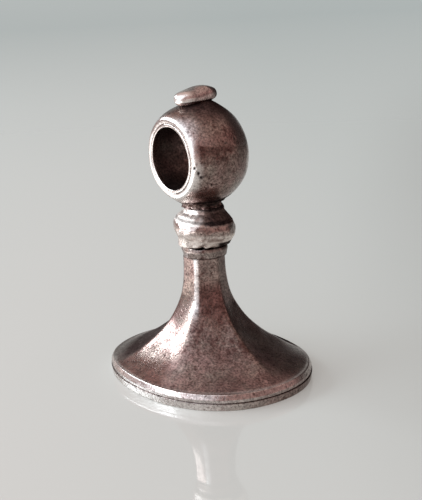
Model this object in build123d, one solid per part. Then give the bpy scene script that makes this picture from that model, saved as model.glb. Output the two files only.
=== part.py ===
from build123d import *
import os
from math import copysign, cos, pi, sin, sqrt

# A small antique hanging wax seal in toned silver. An oval engraved die is soldered under a shank that
# is six-sided at the stem and flares into the die's oval. Above it are a ferrule ring, a collar bead, a
# neck ring and a ball pierced for a ribbon, with an oval button on top. A core pin lines the pieces up
# for soldering. Millimetres. Z runs up the stem, X along the oval die and Y through the hole of the ball.
# The origin is the middle of the sealing face.

# Seal die
DIE_LENGTH = 22.2
DIE_WIDTH = 17.9
DIE_SQUARENESS = 2.15  # exponent of the oval, which is fuller at the quarters than an ellipse
ROUND = 2  # the exponent of a circle or an ellipse
OVAL_POINTS = 24
DIE_THICKNESS = 0.72
DIE_EDGE_ROUND = 0.12

# Engraving in the sealing face: a border line, and a rosette of petals round an eye, with dots between
BORDER_INSET = 1.25  # from the die's edge to the middle of the line
BORDER_WIDTH = 0.45
BORDER_DEPTH = 0.25
EYE_RADIUS = 0.55
EYE_DEPTH = 0.3
PETALS = 6
PETAL_START = 1.0  # from the middle of the die to the petal's inner tip
PETAL_LENGTH = 4.4
PETAL_WIDTH = 1.8
PETAL_DEPTH = 0.35
DOT_RADIUS = 0.35
DOT_REACH = 4.3  # from the middle of the die to the middle of a dot
DOT_DEPTH = 0.25

# Flared shank
SHANK_HEIGHT = 11.25
FACETS = 6
STEM_RADIUS = 2.02  # over the arrises, at the top
STEM_CROWN = 0.15  # how far a stem facet swells from flat, 0, towards round, 1
SKIRT_CROWN = 0.9  # the same at the foot
CROWN_POWER = 4  # the higher, the nearer to the foot the facets stay flat
FLARE_POWER = 2.95  # the higher, the longer the stem stays slim
FLARE_SECTIONS = 14
FOOT_HEIGHT = 0.82
FOOT_INSET = 0.05  # the foot stands this far inside the die's edge
FOOT_WALL = 0.34  # height of the upright wall, below the bevel
FOOT_BEVEL_INSET = 0.2  # how far the bevel leans in
FOOT_SEAM_BEVEL = 0.1
SKIRT_LEDGE = 0.18  # from the top of the bevel to where the skirt rises

# Ferrule ring
RING_HEIGHT = 1.1
RING_LOWER_RADIUS = 2.12
RING_UPPER_RADIUS = 2.28
RING_EDGE_ROUND = 0.14

# Collar bead
COLLAR_HEIGHT = 3.75
COLLAR_LIP_RADIUS = 2.42
COLLAR_LIP_HEIGHT = 0.2
COLLAR_FLANK_RADIUS = 2.74
COLLAR_FLANK_HEIGHT = 0.85
COLLAR_BELLY_RADIUS = 3.02
COLLAR_BELLY_HEIGHT = 1.6
COLLAR_SLOPE_RADIUS = 2.84  # where the belly runs out into the upper slope
COLLAR_SLOPE_HEIGHT = 2.25
COLLAR_COVE_RADIUS = 2.12  # where the slope turns up into the spigot under the neck
COLLAR_COVE_HEIGHT = 3.2
COLLAR_TOP_RADIUS = 2.02

# Neck ring
NECK_FOOT_RADIUS = 2.05
NECK_WAIST_RADIUS = 2.0
NECK_WAIST_HEIGHT = 0.27
NECK_RIM_RADIUS = 2.2
NECK_HEIGHT = 0.6  # at its rim, where it meets the ball

# Pierced ball and the liner of its hole
BALL_RADIUS = 4.93
LIP_WIDTH = 0.46  # flat ring of the ball round the liner
LIP_ROUND = 0.45
HOLE_RADIUS = 2.96
LINER_WALL = 0.3
LINER_STAND = 0.05  # the liner stands this far out of the ball at each end
LINER_EDGE_ROUND = 0.12

# Finial button
BUTTON_LENGTH = 4.65
BUTTON_WIDTH = 2.6
BUTTON_THICKNESS = 1.6
BUTTON_RIM_HEIGHT = 0.74  # from the underside to the widest line
BUTTON_UNDERSIDE = 3.3  # length of the flat underside
BUTTON_SINK = 0.24  # the underside lies this far below the top of the ball
BUTTON_TILT = 5.0  # degrees, one end of the button droops
PEG_RADIUS = 0.45
PEG_END_WALL = 0.7  # metal left between the peg's hole and the liner's hole

# Core pin
PIN_RADIUS = 0.75
PIN_DEPTH = 2.45  # into the shank
PIN_END_WALL = 0.9  # metal left between the pin's hole and the liner's hole
PIN_END_BEVEL = 0.15

# Clearances
SOLDER_GAP = 0.02  # round a pin, a peg, the liner and the ball's seat
END_GAP = 0.05  # past the end of a pin or a peg

# Heights along the stem, each piece on the one below
foot_bottom = DIE_THICKNESS
foot_top = foot_bottom + FOOT_HEIGHT
skirt_inset = FOOT_INSET + FOOT_BEVEL_INSET + SKIRT_LEDGE
stem_top = foot_bottom + SHANK_HEIGHT
collar_bottom = stem_top + RING_HEIGHT
collar_top = collar_bottom + COLLAR_HEIGHT
seat_radius = BALL_RADIUS + SOLDER_GAP
ball_middle = collar_top + NECK_HEIGHT + sqrt(seat_radius**2 - NECK_RIM_RADIUS**2)
ball_top = ball_middle + BALL_RADIUS

# Holes and what fills them
liner_radius = HOLE_RADIUS + LINER_WALL
liner_hole = liner_radius + SOLDER_GAP
lip_radius = liner_hole + LIP_WIDTH
half_flats = sqrt(BALL_RADIUS**2 - lip_radius**2)
pin_hole = PIN_RADIUS + SOLDER_GAP
pin_bottom = stem_top - PIN_DEPTH
pin_top = ball_middle - liner_hole - PIN_END_WALL
peg_hole = PEG_RADIUS + SOLDER_GAP
peg_bottom = ball_middle + liner_hole + PEG_END_WALL


def rod(radius, bottom, top):
    """A round rod on the Z axis between two heights."""
    return Pos(0, 0, bottom) * Cylinder(radius, top - bottom, align=(Align.CENTER, Align.CENTER, Align.MIN))


def turned(outline, bottom):
    """A piece turned about Z from a closed half outline of radii and heights, set down at a height."""
    return Pos(0, 0, bottom) * revolve(Plane.XZ * make_face(outline), Axis.Z)


def oval_point(half_x, half_y, squareness, angle):
    """A point of a superellipse: each coordinate is its half length times the angle's cosine or sine,
    raised to the power 2 / squareness with its sign kept."""
    across = copysign(abs(cos(angle)) ** (2 / squareness), cos(angle))
    along = copysign(abs(sin(angle)) ** (2 / squareness), sin(angle))
    return half_x * across, half_y * along


def oval_toward(half_x, half_y, squareness, angle):
    """The point of a superellipse that lies in a direction from its middle: the direction's cosine and
    sine over the half lengths, each to the power of the squareness, add up to 1."""
    across, along = cos(angle), sin(angle)
    reach = (abs(across / half_x) ** squareness + abs(along / half_y) ** squareness) ** (-1 / squareness)
    return reach * across, reach * along


def oval(inset):
    """The die's oval, drawn this far inside its edge."""
    half_x, half_y = DIE_LENGTH / 2 - inset, DIE_WIDTH / 2 - inset
    angles = [2 * pi * step / OVAL_POINTS for step in range(OVAL_POINTS)]
    points = [oval_point(half_x, half_y, DIE_SQUARENESS, angle) for angle in angles]
    return make_face(Spline(*points, periodic=True))


def petal():
    """A leaf between two arcs that meet at its tips, pointing along X."""
    tip, middle, end = PETAL_START, PETAL_START + PETAL_LENGTH / 2, PETAL_START + PETAL_LENGTH
    near_side = ThreePointArc((tip, 0), (middle, -PETAL_WIDTH / 2), (end, 0))
    far_side = ThreePointArc((end, 0), (middle, PETAL_WIDTH / 2), (tip, 0))
    return make_face([near_side, far_side])


def seal_die():
    plate = extrude(oval(0), DIE_THICKNESS)
    plate = fillet(plate.edges(), DIE_EDGE_ROUND)
    border = oval(BORDER_INSET - BORDER_WIDTH / 2) - oval(BORDER_INSET + BORDER_WIDTH / 2)
    plate -= extrude(border, BORDER_DEPTH)
    plate -= rod(EYE_RADIUS, 0, EYE_DEPTH)
    for turn in range(PETALS):
        plate -= Rot(Z=360 * turn / PETALS) * extrude(petal(), PETAL_DEPTH)
        plate -= Rot(Z=360 * (turn + 0.5) / PETALS) * Pos(X=DOT_REACH) * rod(DOT_RADIUS, 0, DOT_DEPTH)
    return plate


def blend(start, end, share):
    """The value this share of the way from start to end."""
    return start + share * (end - start)


def facet_section(height, flare):
    """The shank's outline at a height, between the stem at a flare of 0 and the die's oval at 1. Its
    corners are on an oval, at equal angles, and each side is an arc that swells by the crown of the way
    from its chord to that oval."""
    half_x = blend(STEM_RADIUS, DIE_LENGTH / 2 - skirt_inset, flare)
    half_y = blend(STEM_RADIUS, DIE_WIDTH / 2 - skirt_inset, flare)
    squareness = blend(ROUND, DIE_SQUARENESS, flare)
    crown = blend(STEM_CROWN, SKIRT_CROWN, flare**CROWN_POWER)

    def point(step):
        return Vector(*oval_toward(half_x, half_y, squareness, 2 * pi * step / FACETS))

    sides = []
    for step in range(FACETS):
        start, end = point(step), point(step + 1)
        middle = blend((start + end) / 2, point(step + 0.5), crown)
        sides.append(ThreePointArc(start, middle, end))
    return Pos(0, 0, height) * make_face(sides)


def flared_shank():
    foot = Pos(0, 0, foot_bottom) * extrude(oval(FOOT_INSET), FOOT_WALL)
    foot = chamfer(foot.edges().group_by(Axis.Z)[0], FOOT_SEAM_BEVEL)
    bevel_bottom = Pos(0, 0, foot_bottom + FOOT_WALL) * oval(FOOT_INSET)
    foot += loft([bevel_bottom, Pos(0, 0, foot_top) * oval(FOOT_INSET + FOOT_BEVEL_INSET)])
    sections = []
    for step in range(FLARE_SECTIONS + 1):
        rise = step / FLARE_SECTIONS
        sections.append(facet_section(blend(foot_top, stem_top, rise), (1 - rise) ** FLARE_POWER))
    return foot + loft(sections) - rod(pin_hole, pin_bottom - END_GAP, stem_top)


def ferrule_ring():
    outline = Polyline(
        (pin_hole, 0),
        (RING_LOWER_RADIUS, 0),
        (RING_UPPER_RADIUS, RING_HEIGHT),
        (pin_hole, RING_HEIGHT),
        close=True,
    )
    ring = turned(outline, stem_top)
    rims = ring.edges().filter_by(GeomType.CIRCLE).sort_by(SortBy.RADIUS)[-2:]
    return fillet(rims, RING_EDGE_ROUND)


def collar_bead():
    lower = Polyline(
        (pin_hole, COLLAR_HEIGHT),
        (pin_hole, 0),
        (COLLAR_LIP_RADIUS, 0),
        (COLLAR_LIP_RADIUS, COLLAR_LIP_HEIGHT),
        (COLLAR_FLANK_RADIUS, COLLAR_FLANK_HEIGHT),
    )
    belly = ThreePointArc(
        (COLLAR_FLANK_RADIUS, COLLAR_FLANK_HEIGHT),
        (COLLAR_BELLY_RADIUS, COLLAR_BELLY_HEIGHT),
        (COLLAR_SLOPE_RADIUS, COLLAR_SLOPE_HEIGHT),
    )
    slope = Line((COLLAR_SLOPE_RADIUS, COLLAR_SLOPE_HEIGHT), (COLLAR_COVE_RADIUS, COLLAR_COVE_HEIGHT))
    cove = TangentArc(slope @ 1, (COLLAR_TOP_RADIUS, COLLAR_HEIGHT), tangent=slope % 1)
    top = Line((COLLAR_TOP_RADIUS, COLLAR_HEIGHT), (pin_hole, COLLAR_HEIGHT))
    return turned([lower, belly, slope, cove, top], collar_bottom)


def neck_ring():
    inside = Polyline(
        (NECK_RIM_RADIUS, NECK_HEIGHT),
        (pin_hole, NECK_HEIGHT),
        (pin_hole, 0),
        (NECK_FOOT_RADIUS, 0),
    )
    waist = ThreePointArc(
        (NECK_FOOT_RADIUS, 0),
        (NECK_WAIST_RADIUS, NECK_WAIST_HEIGHT),
        (NECK_RIM_RADIUS, NECK_HEIGHT),
    )
    return turned([inside, waist], collar_top) - Pos(0, 0, ball_middle) * Sphere(seat_radius)


def pierced_ball():
    """A ball turned about the axis of its hole, with the two mouths faced flat."""
    sides = Polyline(
        (lip_radius, -half_flats),
        (liner_hole, -half_flats),
        (liner_hole, half_flats),
        (lip_radius, half_flats),
    )
    round_side = ThreePointArc((lip_radius, half_flats), (BALL_RADIUS, 0), (lip_radius, -half_flats))
    ball = revolve(make_face([sides, round_side]), Axis.Y)
    lips = ball.edges().filter_by(GeomType.CIRCLE).sort_by(SortBy.RADIUS)[-2:]
    ball = Pos(0, 0, ball_middle) * fillet(lips, LIP_ROUND)
    ball -= rod(pin_hole, collar_top, pin_top + END_GAP)
    return ball - rod(peg_hole, peg_bottom - END_GAP, ball_top + BUTTON_THICKNESS)


def hole_liner():
    length = 2 * (half_flats + LINER_STAND)
    tube = Cylinder(liner_radius, length) - Cylinder(HOLE_RADIUS, length)
    tube = fillet(tube.edges().filter_by(GeomType.CIRCLE), LINER_EDGE_ROUND)
    return Pos(0, 0, ball_middle) * Rot(X=90) * tube


def finial_button():
    half_length = BUTTON_LENGTH / 2
    under = BUTTON_UNDERSIDE / 2
    axis = Polyline((0, BUTTON_THICKNESS), (0, 0), (under, 0))
    below = EllipticalCenterArc((under, BUTTON_RIM_HEIGHT), half_length - under, BUTTON_RIM_HEIGHT, 270)
    above = EllipticalCenterArc((0, BUTTON_RIM_HEIGHT), half_length, BUTTON_THICKNESS - BUTTON_RIM_HEIGHT)
    pebble = scale(turned([axis, below, above], 0), by=(BUTTON_WIDTH / BUTTON_LENGTH, 1, 1))
    head = Pos(0, 0, ball_top - BUTTON_SINK) * Rot(X=BUTTON_TILT) * pebble
    head -= Pos(0, 0, ball_middle) * Sphere(seat_radius)
    return head + rod(PEG_RADIUS, peg_bottom, ball_top + BUTTON_RIM_HEIGHT)


def core_pin():
    pin = rod(PIN_RADIUS, pin_bottom, pin_top)
    return chamfer(pin.edges().filter_by(GeomType.CIRCLE), PIN_END_BEVEL)


os.makedirs("parts", exist_ok=True)
pieces = [
    seal_die,
    flared_shank,
    ferrule_ring,
    collar_bead,
    neck_ring,
    pierced_ball,
    hole_liner,
    finial_button,
    core_pin,
]
for piece in pieces:
    export_step(piece(), f"parts/{piece.__name__}.step")
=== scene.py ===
import bpy
import numpy as np
from mathutils import Matrix, Vector


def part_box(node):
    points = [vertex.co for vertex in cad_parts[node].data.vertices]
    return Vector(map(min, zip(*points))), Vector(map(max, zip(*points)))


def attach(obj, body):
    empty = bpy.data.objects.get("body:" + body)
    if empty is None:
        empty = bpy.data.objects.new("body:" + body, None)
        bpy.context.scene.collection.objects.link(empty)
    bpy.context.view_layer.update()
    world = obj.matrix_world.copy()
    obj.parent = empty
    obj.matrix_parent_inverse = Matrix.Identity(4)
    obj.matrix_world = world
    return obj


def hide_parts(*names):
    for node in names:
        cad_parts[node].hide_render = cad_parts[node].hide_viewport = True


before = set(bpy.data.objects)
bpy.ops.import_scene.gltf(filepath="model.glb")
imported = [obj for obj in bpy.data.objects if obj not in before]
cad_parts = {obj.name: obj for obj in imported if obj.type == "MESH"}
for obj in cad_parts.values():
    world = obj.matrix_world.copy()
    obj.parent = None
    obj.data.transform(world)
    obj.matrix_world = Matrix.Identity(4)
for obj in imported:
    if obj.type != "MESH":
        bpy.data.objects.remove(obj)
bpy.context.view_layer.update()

# Seal die
# The oval plate that is pressed into the wax: old silver, cut by hand with a border line, a row of beads
# and a six-petalled rosette, and soldered under the foot. Its edge is rubbed bright, the cuts are dirty,
# and painted shade darkens and reddens it towards the shaded side.
MM = 0.001
COLUMNS = 432
around = np.linspace(0, 2 * np.pi, COLUMNS, endpoint=False)
# These are the ways to the seal's shaded side and to its back. Marks that darken towards the shaded side
# are painted shade, and wear that grows away from it is partly painted highlight.
TO_THE_SIDE, AWAY = np.array([0.576, 0.818, 0]), np.array([-0.818, 0.576, 0])
die_half_x, die_half_y, die_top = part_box("seal_die")[1]
DIE_SQUARENESS = 2.15
FACE_ROWS, BACK_ROWS, DIE_EDGE_STEP = 149, 5, 0.026 * MM
DIE_DRAFT, DIE_EDGE_BAND, DIE_EDGE_WEAR, SEAM_WEAR = 0.1 * MM, 0.4 * MM, 0.2 * MM, 0.05 * MM
DIRT_DEPTH, SEAM_BAND = 0.2 * MM, 0.1 * MM
BORDER_INSET, BORDER_HALF_WIDTH, BORDER_DEPTH = 1.25 * MM, 0.26 * MM, 0.26 * MM
BEADS, BEAD_INSET, BEAD_RADIUS, BEAD_DEPTH = 60, 1.95 * MM, 0.24 * MM, 0.16 * MM
PETALS, PETAL_START, PETAL_LENGTH, PETAL_HALF_WIDTH = 6, 1.0 * MM, 4.4 * MM, 0.9 * MM
PETAL_DEPTH, RIB_HALF_WIDTH, RIB_HEIGHT = 0.36 * MM, 0.12 * MM, 0.2 * MM
EYE_RADIUS, EYE_DEPTH = 0.55 * MM, 0.3 * MM
DOT_REACH, DOT_RADIUS, DOT_DEPTH = 4.3 * MM, 0.35 * MM, 0.26 * MM


def superellipse(angle, squareness):
    """Unit oval: the angle's cosine and sine, each to the power 2 / squareness with its sign kept."""
    cosine, sine = np.cos(angle), np.sin(angle)
    power = 2 / squareness
    return np.sign(cosine) * np.abs(cosine) ** power, np.sign(sine) * np.abs(sine) ** power


def step_up(value, low, high):
    """Smooth step: 0 at low and before it, 1 at high and beyond it, and 3t^2 - 2t^3 between them."""
    t = np.clip((value - low) / (high - low), 0, 1)
    return t * t * (3 - 2 * t)


def worn_outline(corners, step, wear):
    """Walks along straight runs between corners in equal steps, then takes the running mean over the
    width wear, which rounds the corners as handling does. The two ends stay where they are. Columns after
    the second are carried along."""
    corners = np.asarray(corners, dtype=float)
    run = np.hypot(*np.diff(corners[:, :2], axis=0).T)
    length = np.concatenate([[0], np.cumsum(run)])
    at = np.linspace(0, length[-1], int(length[-1] / step) + 2)
    walked = np.stack([np.interp(at, length, column) for column in corners.T], axis=-1)
    half = max(1, int(wear / step / 2))
    padded = np.pad(walked, ((half, half), (0, 0)), mode="edge")
    sums = np.cumsum(np.pad(padded, ((1, 0), (0, 0))), axis=0)
    rounded = (sums[2 * half + 1:] - sums[:-2 * half - 1]) / (2 * half + 1)
    rounded[0], rounded[-1] = walked[0], walked[-1]
    return rounded


def skin(name, points, marks, closed=False):
    """Mesh of a surface given as rows by columns of points. Columns close round. Rows close round too
    where closed is set, and otherwise each end row is drawn in to a pole at its mean. The faces are
    turned outwards by the sign of the enclosed volume. Each mark, a number per point, is an attribute."""
    rows, columns = points.shape[:2]
    index = np.arange(rows * columns).reshape(rows, columns)
    here, above = (index, np.roll(index, -1, axis=0)) if closed else (index[:-1], index[1:])
    quads = np.stack([here, np.roll(here, -1, axis=1), np.roll(above, -1, axis=1), above], axis=-1)
    quads = quads.reshape(-1, 4)
    vertices = points.reshape(-1, 3)
    corners, sides = quads.ravel(), np.full(len(quads), 4)
    values = {key: np.broadcast_to(mark, (rows, columns)) for key, mark in marks.items()}
    if not closed:
        poles = rows * columns + np.arange(2)
        first, last = index[0], index[-1]
        bottom = np.stack([np.full(columns, poles[0]), np.roll(first, -1), first], axis=-1)
        top = np.stack([np.full(columns, poles[1]), last, np.roll(last, -1)], axis=-1)
        vertices = np.concatenate([vertices, points[[0, -1]].mean(axis=1)])
        corners = np.concatenate([corners, bottom.ravel(), top.ravel()])
        sides = np.concatenate([sides, np.full(2 * columns, 3)])
        values = {key: np.append(value, value[[0, -1]].mean(axis=1)) for key, value in values.items()}
    a, b, c, d = (vertices[quads[:, k]] for k in range(4))
    enclosed = np.einsum("ij,ij->", a, np.cross(b, c)) + np.einsum("ij,ij->", a, np.cross(c, d))
    starts = np.concatenate([[0], np.cumsum(sides)[:-1]])
    if enclosed < 0:
        ordinal = np.arange(len(corners)) - np.repeat(starts, sides)
        corners = corners[np.repeat(starts + sides - 1, sides) - ordinal]
    mesh = bpy.data.meshes.new(name)
    mesh.vertices.add(len(vertices))
    mesh.vertices.foreach_set("co", vertices.astype(np.float32).ravel())
    mesh.loops.add(len(corners))
    mesh.loops.foreach_set("vertex_index", corners.astype(np.int32))
    mesh.polygons.add(len(sides))
    mesh.polygons.foreach_set("loop_start", starts.astype(np.int32))
    mesh.polygons.foreach_set("loop_total", sides.astype(np.int32))
    mesh.polygons.foreach_set("use_smooth", np.ones(len(sides), dtype=bool))
    mesh.update(calc_edges=True)
    for key, value in values.items():
        attribute = mesh.attributes.new(key, "FLOAT", "POINT")
        attribute.data.foreach_set("value", value.astype(np.float32).ravel())
    piece = bpy.data.objects.new(name, mesh)
    bpy.context.scene.collection.objects.link(piece)
    return piece


def tone(red, green, blue):
    """Linear colour of a tone given as it shows on a screen, from 0 to 255."""
    shown = np.array([red, green, blue]) / 255
    linear = np.where(shown > 0.04045, ((shown + 0.055) / 1.055) ** 2.4, shown / 12.92)
    return (*linear, 1.0)


def put(tree, kind, sockets=None, **options):
    """Adds a shader node with these options. Each socket gets a value, or a link from another node."""
    node = tree.nodes.new(kind)
    for option, value in options.items():
        setattr(node, option, value)
    for key, value in (sockets or {}).items():
        if isinstance(value, bpy.types.NodeSocket):
            tree.links.new(value, node.inputs[key])
        else:
            node.inputs[key].default_value = value
    return node


def ramp(tree, value, low, high):
    """Value that goes from 0 to 1 as the given one goes from low to high, and stays there beyond them."""
    return put(tree, "ShaderNodeMapRange", {0: value, 1: low, 2: high}).outputs[0]


def spread(tree, share, at_0, at_1):
    """Value that goes from at_0 to at_1 as the share goes from 0 to 1."""
    return put(tree, "ShaderNodeMapRange", {0: share, 3: at_0, 4: at_1}).outputs[0]


def mottle(tree, where, size, detail, low, high):
    """Noise of about this feature size, stretched so that low becomes 0 and high becomes 1."""
    grain = {"Vector": where, "Scale": 1 / size, "Detail": detail, "Roughness": 0.6}
    return ramp(tree, put(tree, "ShaderNodeTexNoise", grain).outputs["Fac"], low, high)


def worked_out(tree, operation, a, b, clamp=False):
    """Sum or other operation on two values, kept between 0 and 1 where clamp is set."""
    return put(tree, "ShaderNodeMath", {0: a, 1: b}, operation=operation, use_clamp=clamp).outputs[0]


def times(tree, a, b):
    """Product of two values."""
    return worked_out(tree, "MULTIPLY", a, b)


def mixed(tree, share, a, b):
    """Colour that goes from a to b as the share goes from 0 to 1."""
    return put(tree, "ShaderNodeMix", {0: share, 6: a, 7: b}, data_type="RGBA").outputs[2]


def new_material(name):
    """New material, with its node tree, its shader and the place that its patterns follow."""
    material = bpy.data.materials.new(name)
    material.use_nodes = True
    tree = material.node_tree
    return material, tree, tree.nodes["Principled BSDF"], put(tree, "ShaderNodeTexCoord").outputs["Object"]


SILVER, TONED, RED_TONED = tone(226, 219, 214), tone(138, 124, 116), tone(134, 110, 105)
# The oxide and dirt tones also serve as painted shade, and the grimed edge dims reflections there.
OXIDE_AND_SHADE, GRIME_AND_SHADE = tone(88, 66, 62), tone(54, 45, 44)
CLEAN_EDGE, GRIMED_AND_SHADED_EDGE = (1, 1, 1, 1), (0.28, 0.26, 0.26, 1)
CLOUD_SIZE, PATCH_SIZE, BLOTCH_SIZE = 3.1 * MM, 1.1 * MM, 0.7 * MM
PIT_SIZE, SPECK_SIZE = 0.36 * MM, 0.2 * MM
FLUSH_AND_SHADE_SIZE, RUB_SIZE, SOIL_AND_SHADE_SIZE = 0.45 * MM, 0.5 * MM, 0.6 * MM
PATCH_SHARE, BARE_SHARE, RUBBED_CLEAN = 0.7, 0.8, 0.7
SPECK_SWING, BLOTCH_SWING = (1.65, 0.47), (1.25, 0.75)
SOIL_AND_SHADE_DULLS, SATIN_DULLS = 0.3, 0.2
SPECK_RELIEF, RELIEF_STRENGTH, RELIEF_HEIGHT = -0.35, 0.25, 0.025 * MM


def old_silver(name, toned=TONED, bright=SILVER, gloss=(0.16, 0.3)):
    """Old silver, toned brown. Broad clouds redden the tone, patches of dark oxide lie over it, and a
    fine grain and scattered pits roughen it. The wear mark rubs it bright and also paints highlights on
    the lit side. The redness mark reddens it for tone and also for painted shade and a painted reflection,
    and the dirt mark darkens and dulls it for dirt and also for painted shade. The satin mark dulls it
    without darkening."""
    material, tree, shader, where = new_material(name)
    wear, blush_and_shade, grime_and_shade, satin = (
        put(tree, "ShaderNodeAttribute", attribute_name=mark).outputs["Fac"]
        for mark in ("wear", "blush_and_shade", "grime_and_shade", "satin")
    )
    pits = mottle(tree, where, PIT_SIZE, 2, 0.59, 0.66)
    specks = mottle(tree, where, SPECK_SIZE, 2, 0.36, 0.64)
    base = mixed(tree, mottle(tree, where, CLOUD_SIZE, 3, 0.38, 0.62), toned, RED_TONED)
    patches = times(tree, mottle(tree, where, PATCH_SIZE, 6, 0.46, 0.7), PATCH_SHARE)
    # Reddening for tone, and also painted shade and painted reflection.
    flushed_and_shaded = times(tree, blush_and_shade, mottle(tree, where, FLUSH_AND_SHADE_SIZE, 3, 0.25, 0.6))
    base = mixed(tree, worked_out(tree, "ADD", patches, flushed_and_shaded, clamp=True), base, OXIDE_AND_SHADE)
    # Bright rubbing, which on the lit side is partly painted highlight.
    rubbed = times(tree, wear, mottle(tree, where, RUB_SIZE, 4, 0.1, 0.5))
    base = mixed(tree, rubbed, base, bright)
    unrubbed = worked_out(tree, "SUBTRACT", BARE_SHARE, times(tree, rubbed, RUBBED_CLEAN))
    base = mixed(tree, times(tree, pits, unrubbed), base, OXIDE_AND_SHADE)
    # Darkening by dirt, and also by painted shade.
    soiled_and_shaded = times(tree, grime_and_shade, mottle(tree, where, SOIL_AND_SHADE_SIZE, 4, 0.1, 0.45))
    base = mixed(tree, soiled_and_shaded, base, GRIME_AND_SHADE)
    blotches = spread(tree, mottle(tree, where, BLOTCH_SIZE, 4, 0.3, 0.7), *BLOTCH_SWING)
    swing = times(tree, spread(tree, specks, *SPECK_SWING), blotches)
    grained = put(tree, "ShaderNodeVectorMath", {0: base, "Scale": swing}, operation="SCALE").outputs[0]
    tree.links.new(mixed(tree, unrubbed, base, grained), shader.inputs["Base Color"])
    tree.links.new(mixed(tree, soiled_and_shaded, CLEAN_EDGE, GRIMED_AND_SHADED_EDGE), shader.inputs["Specular Tint"])
    dulled = worked_out(tree, "ADD", times(tree, soiled_and_shaded, SOIL_AND_SHADE_DULLS), times(tree, satin, SATIN_DULLS))
    roughness = worked_out(tree, "ADD", spread(tree, specks, *gloss), dulled)
    tree.links.new(roughness, shader.inputs["Roughness"])
    shader.inputs["Metallic"].default_value = 1.0
    relief = worked_out(tree, "SUBTRACT", times(tree, specks, SPECK_RELIEF), pits)
    bumps = {"Height": relief, "Strength": RELIEF_STRENGTH, "Distance": RELIEF_HEIGHT}
    tree.links.new(put(tree, "ShaderNodeBump", bumps).outputs["Normal"], shader.inputs["Normal"])
    return material


def dressed(piece, node, material):
    """Puts the finish on a piece, which stands for a CAD node and rides on the one body."""
    piece.data.materials.append(material)
    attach(piece, "root")
    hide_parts(node)


def engraved_depth(x, y, inset):
    """Depth of the cuts in the sealing face. The border is a round-bottomed line at a fixed inset from
    the edge, the beads sit along it, and each petal is a leaf hollowed between two arcs with a rib left
    down its middle. The eye and the dots are round hollows."""
    angle = np.arctan2(y / die_half_y, x / die_half_x)
    reach = np.hypot(x, y)
    depth = BORDER_DEPTH * np.clip(1 - ((inset - BORDER_INSET) / BORDER_HALF_WIDTH) ** 2, 0, None)
    along = (np.mod(angle * BEADS / (2 * np.pi), 1) - 0.5) * 2 * np.pi * reach / BEADS
    bead = 1 - ((inset - BEAD_INSET) ** 2 + along**2) / BEAD_RADIUS**2
    depth = np.maximum(depth, BEAD_DEPTH * np.sqrt(np.clip(bead, 0, None)))
    turn = 2 * np.pi / PETALS
    folded = np.mod(np.arctan2(y, x) + turn / 2, turn) - turn / 2
    u, v = reach * np.cos(folded) - PETAL_START, reach * np.sin(folded)
    half_width = PETAL_HALF_WIDTH * 4 * np.clip(u / PETAL_LENGTH * (1 - u / PETAL_LENGTH), 0, None)
    leaf = np.clip(1 - (v / np.maximum(half_width, 1e-9)) ** 2, 0, None) * (half_width > 0)
    rib = RIB_HEIGHT * np.clip(1 - np.abs(v) / RIB_HALF_WIDTH, 0, None)
    depth = np.maximum(depth, np.clip(PETAL_DEPTH * leaf**0.5 - rib, 0, None))
    depth = np.maximum(depth, EYE_DEPTH * np.sqrt(np.clip(1 - (reach / EYE_RADIUS) ** 2, 0, None)))
    between = np.mod(np.arctan2(y, x), turn) - turn / 2
    dot = (reach * np.cos(between) - DOT_REACH) ** 2 + (reach * np.sin(between)) ** 2
    return np.maximum(depth, DOT_DEPTH * np.sqrt(np.clip(1 - dot / DOT_RADIUS**2, 0, None)))


def die_surface():
    """The face is a fan of scaled ovals from the middle out, cut by the engraving. The edge is an outline
    of insets and heights carried round the oval, and the back is the oval again. Dirt follows the depth
    of the cuts and the seam. Towards the shaded side, painted shade lowers the wear and adds redness and
    darkening."""
    oval_x, oval_y = superellipse(around, DIE_SQUARENESS)
    waist = (DIE_DRAFT / 2, die_top / 2)
    below = worn_outline([(DIE_EDGE_BAND, 0), (DIE_DRAFT, 0), waist], DIE_EDGE_STEP, DIE_EDGE_WEAR)
    above = worn_outline([waist, (0, die_top), (DIE_EDGE_BAND, die_top)], DIE_EDGE_STEP, SEAM_WEAR)
    edge_inset, edge_height = np.hsplit(np.concatenate([below[:-1], above]), 2)
    face_reach = np.linspace(0.01, 1, FACE_ROWS + 1)[:-1, None]
    back_reach = np.linspace(1, 0.02, BACK_ROWS + 1)[1:, None]
    face_x = face_reach * (die_half_x - edge_inset[0]) * oval_x
    face_y = face_reach * (die_half_y - edge_inset[0]) * oval_y
    inset = edge_inset[0] + (1 - face_reach) * np.hypot(die_half_x * oval_x, die_half_y * oval_y)
    cut = engraved_depth(face_x, face_y, inset)
    x = np.concatenate([face_x, (die_half_x - edge_inset) * oval_x, back_reach * face_x[-1]])
    y = np.concatenate([face_y, (die_half_y - edge_inset) * oval_y, back_reach * face_y[-1]])
    z = np.concatenate([cut, edge_height + 0 * oval_x, die_top + 0 * back_reach * oval_x])
    points = np.stack([x, y, z], axis=-1)
    to_side = points @ TO_THE_SIDE / die_half_x
    on_face = np.arange(len(z))[:, None] < FACE_ROWS
    seam = 0.5 * step_up(z, die_top - SEAM_BAND, die_top)
    # Painted shade: the die is darkened, reddened and less rubbed towards the shaded side.
    shaded = step_up(to_side, 0.3, 0.75)
    grime_and_shade = np.where(on_face, step_up(z, 0, DIRT_DEPTH), seam) + 0.15 * shaded
    wear = np.where(on_face, 0.5, 1 - seam) * (0.14 + 0.58 * step_up(to_side, 0.62, -0.2))
    return points, dict(grime_and_shade=np.clip(grime_and_shade, 0, 1), wear=wear, blush_and_shade=0.32 * shaded)


die = skin("seal_die_cut", *die_surface())
dressed(die, "seal_die", old_silver("engraved_old_silver"))

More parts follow.
